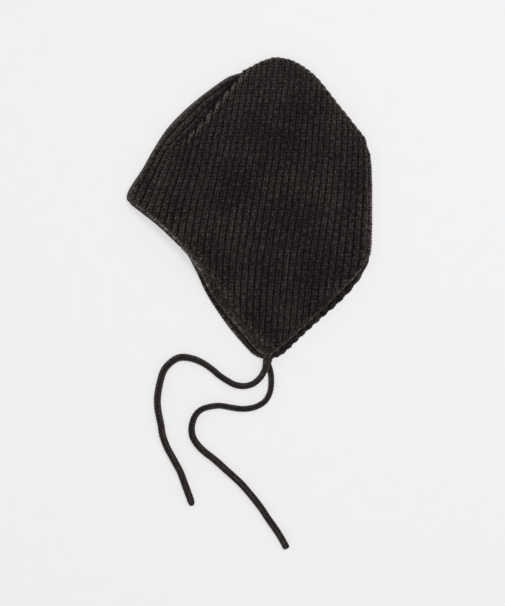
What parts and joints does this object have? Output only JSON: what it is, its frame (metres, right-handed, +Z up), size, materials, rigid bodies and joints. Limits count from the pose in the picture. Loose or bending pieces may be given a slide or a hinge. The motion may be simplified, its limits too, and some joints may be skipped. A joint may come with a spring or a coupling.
{
  "type": "trapper hat",
  "caption": "Soft ribbed-knit hat with a front panel, two side panels, fold-up ear flaps and knitted tie cords, folded flat on its side.",
  "frame": {"origin": "middle of the hat's own box, without its cords, on the surface that its right side lies on", "axes": "+Y from the ear flaps to the crown; +Z up, away from the surface; the forehead faces -X"},
  "size_m": [0.2455, 0.4933, 0.0202],
  "materials": {
    "rib_knit": "heathered rib knit",
    "edge_knit": "bound-off knit edge",
    "cord_knit": "tubular knit",
    "seam_thread": "twisted yarn"
  },
  "bodies": {
    "cap": {"front_panel": "rib_knit", "left_side_panel": "rib_knit", "right_side_panel": "rib_knit", "brim_edge": "edge_knit", "left_front_seam": "seam_thread", "right_front_seam": "seam_thread", "crown_seam": "seam_thread", "back_seam": "seam_thread"},
    "left_flap": {"left_ear_flap": "rib_knit", "left_flap_front_edge": "edge_knit", "left_flap_back_edge": "edge_knit", "left_cord_tack": "edge_knit"},
    "right_flap": {"right_ear_flap": "rib_knit", "right_flap_front_edge": "edge_knit", "right_flap_back_edge": "edge_knit", "right_cord_tack": "edge_knit"},
    "left_cord": {"left_tie_cord": "cord_knit"},
    "right_cord": {"right_tie_cord": "cord_knit"}
  },
  "joints": [
    {"name": "left_flap_fold", "type": "hinge", "parent": "cap", "child": "left_flap", "pos_m": [0.025, -0.0475, 0.021], "axis": [-1, 0, 0], "range_deg": [0, 172]},
    {"name": "right_flap_fold", "type": "hinge", "parent": "cap", "child": "right_flap", "pos_m": [0.025, -0.0475, -0.0003], "axis": [1, 0, 0], "range_deg": [0, 172]},
    {"name": "left_cord_swing", "type": "hinge", "parent": "left_flap", "child": "left_cord", "pos_m": [0.0172, -0.1492, 0.0099], "axis": [0, 0, -1], "range_deg": [0, 35]},
    {"name": "right_cord_swing", "type": "hinge", "parent": "right_flap", "child": "right_cord", "pos_m": [0.0192, -0.1534, 0.00325], "axis": [0, 0, 1], "range_deg": [0, 35]}
  ]
}
